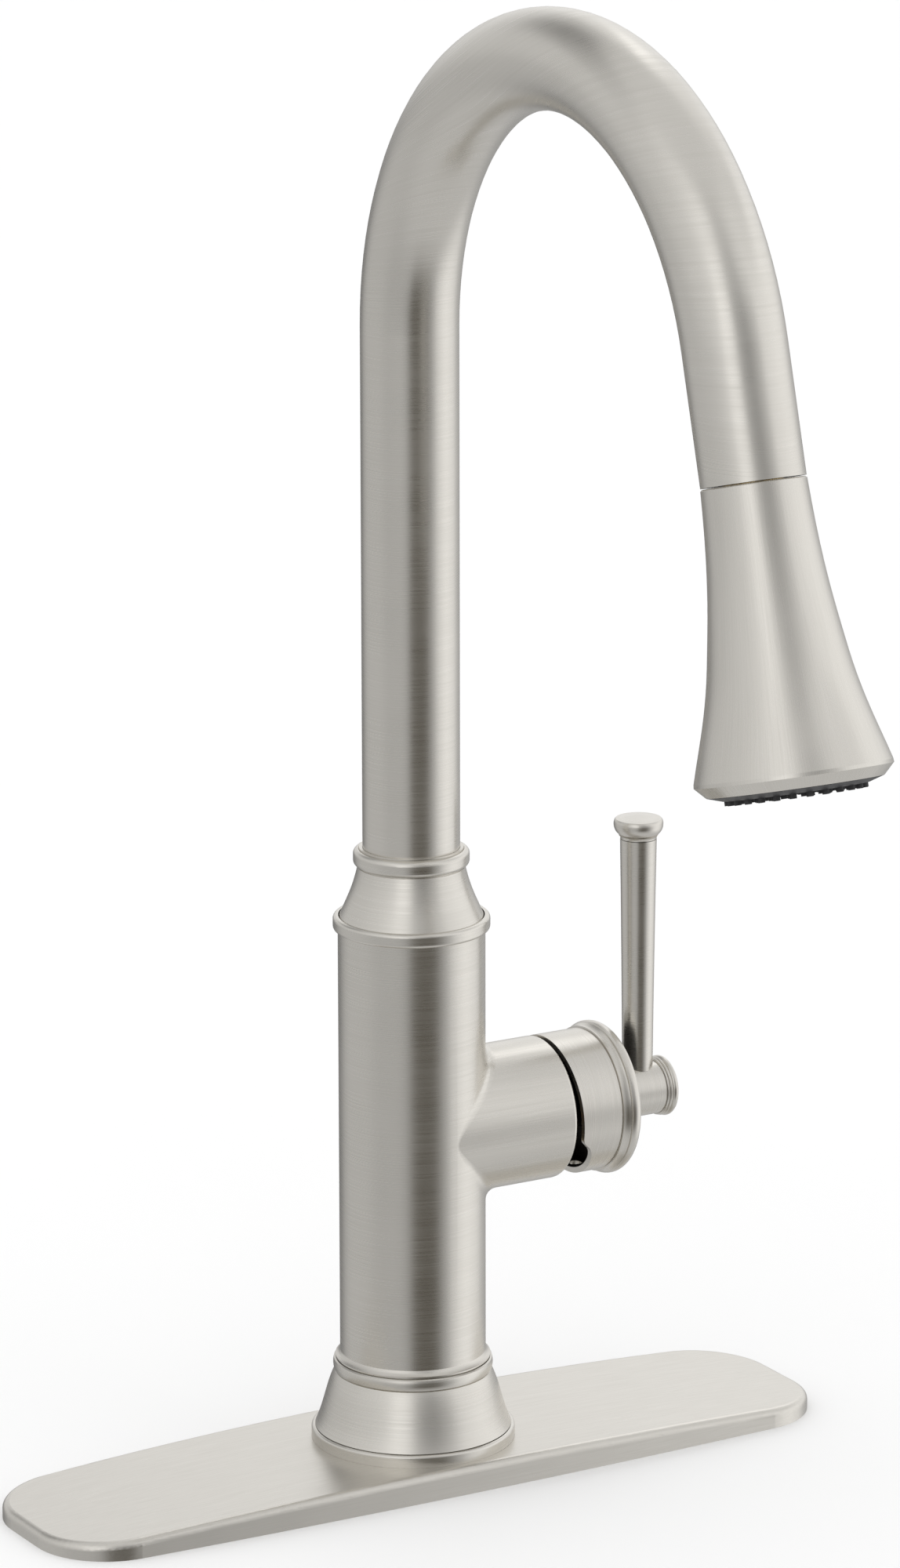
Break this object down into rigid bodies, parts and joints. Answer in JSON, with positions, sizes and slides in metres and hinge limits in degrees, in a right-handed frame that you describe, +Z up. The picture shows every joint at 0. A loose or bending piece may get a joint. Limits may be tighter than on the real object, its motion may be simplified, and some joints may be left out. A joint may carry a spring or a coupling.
{
  "type": "pull-down kitchen faucet",
  "caption": "Single-lever pull-down kitchen faucet with a gooseneck spout, bell-shaped spray head, side handle and long deck plate.",
  "frame": {"origin": "on the column's axis, at the top of the sink deck", "axes": "+Z up the column, -Y the way the spout reaches, +X towards the handle"},
  "size_m": [0.26, 0.2643, 0.5711],
  "materials": {
    "brushed_nickel": "warm satin nickel, fine brushing lines",
    "stainless_steel": "plain turned steel",
    "brass": "machined brass",
    "copper": "drawn copper tube",
    "black_rubber": "moulded nitrile rubber",
    "nozzle_rubber": "soft silicone",
    "black_plastic": "fine moulded texture",
    "grey_plastic": "moulded acetal",
    "white_plastic": "moulded acetal",
    "ceramic": "lapped ceramic",
    "magnet": "nickel-plated magnet",
    "hose": "braided nylon over a rubber hose"
  },
  "bodies": {
    "faucet_body": {"deck_plate": "brushed_nickel", "plate_liner": "grey_plastic", "base_ring": "brushed_nickel", "base_seal": "black_rubber", "flared_base": "brushed_nickel", "body_shell": "brushed_nickel", "mounting_shank": "brass", "deck_washer": "black_rubber", "clamp_washer": "stainless_steel", "mounting_nut": "brass", "nut_screws": "stainless_steel", "water_block": "brass", "hot_tube": "copper", "cold_tube": "copper", "outlet_tube": "copper", "hot_inlet": "brass", "cold_inlet": "brass", "outlet_nipple": "brass", "cartridge_base": "grey_plastic", "fixed_disc": "ceramic", "port_seals": "black_rubber", "cartridge_housing": "grey_plastic", "cartridge_nut": "brass", "thrust_washer": "white_plastic", "lower_bush": "white_plastic", "upper_bush": "white_plastic", "hose_in_body": "hose"},
    "spout": {"spout_collar": "brushed_nickel", "swivel_spigot": "brass", "swivel_seals": "black_rubber", "retaining_clip": "stainless_steel", "spout_ring": "brushed_nickel", "spout_tube": "brushed_nickel", "dock_insert": "black_plastic", "dock_magnet": "magnet", "hose_in_spout": "hose"},
    "pull_hose": {"hose_lead": "hose", "hose_ferrule": "brass"},
    "spray_head": {"spray_shell": "brushed_nickel", "head_magnet": "magnet", "selector_pin": "stainless_steel", "spray_core": "white_plastic", "check_valve": "white_plastic", "core_seal": "black_rubber", "spray_face": "black_plastic", "nozzle_mat": "nozzle_rubber", "stream_insert": "grey_plastic"},
    "selector": {"selector_button": "black_plastic"},
    "valve_spindle": {"cartridge_spindle": "white_plastic", "stem_pin": "stainless_steel"},
    "valve_disc": {"moving_disc": "ceramic", "disc_carrier": "white_plastic"},
    "handle": {"cartridge_stem": "stainless_steel", "handle_hub": "brushed_nickel", "handle_set_screw": "stainless_steel", "handle_stub": "brushed_nickel", "stub_end_ring": "brushed_nickel", "lever_rod": "brushed_nickel", "lever_knob": "brushed_nickel"}
  },
  "joints": [
    {"name": "spout_swivel", "type": "hinge", "parent": "faucet_body", "child": "spout", "pos_m": [0, 0, 0.1692], "axis": [0, 0, 1], "continuous": true},
    {"name": "spray_pull", "type": "slide", "parent": "spout", "child": "pull_hose", "axis": [0, -0.2701, -0.9628], "range_m": [0, 0.42], "stiffness_N_per_m": 2, "springref_m": -3.2},
    {"name": "spray_twist", "type": "hinge", "parent": "pull_hose", "child": "spray_head", "pos_m": [0, -0.18333, 0.33323], "axis": [0, -0.2701, -0.9628], "continuous": true},
    {"name": "selector_rock", "type": "hinge", "parent": "spray_head", "child": "selector", "pos_m": [0, -0.18316, 0.27969], "axis": [1, 0, 0], "range_deg": [-4, 4]},
    {"name": "temperature_turn", "type": "hinge", "parent": "faucet_body", "child": "valve_spindle", "pos_m": [0.0385, 0, 0.1035], "axis": [1, 0, 0], "range_deg": [-45, 45]},
    {"name": "flow_lift", "type": "hinge", "parent": "valve_spindle", "child": "handle", "pos_m": [0.0385, 0, 0.1035], "axis": [0, 1, 0], "range_deg": [0, 16]},
    {"name": "disc_slide", "type": "slide", "parent": "valve_spindle", "child": "valve_disc", "axis": [0, 0, 1], "range_m": [0, 0.0025]}
  ],
  "couplings": [
    {"joint": "disc_slide", "follows": "flow_lift", "m_per_rad": 0.0083}
  ]
}
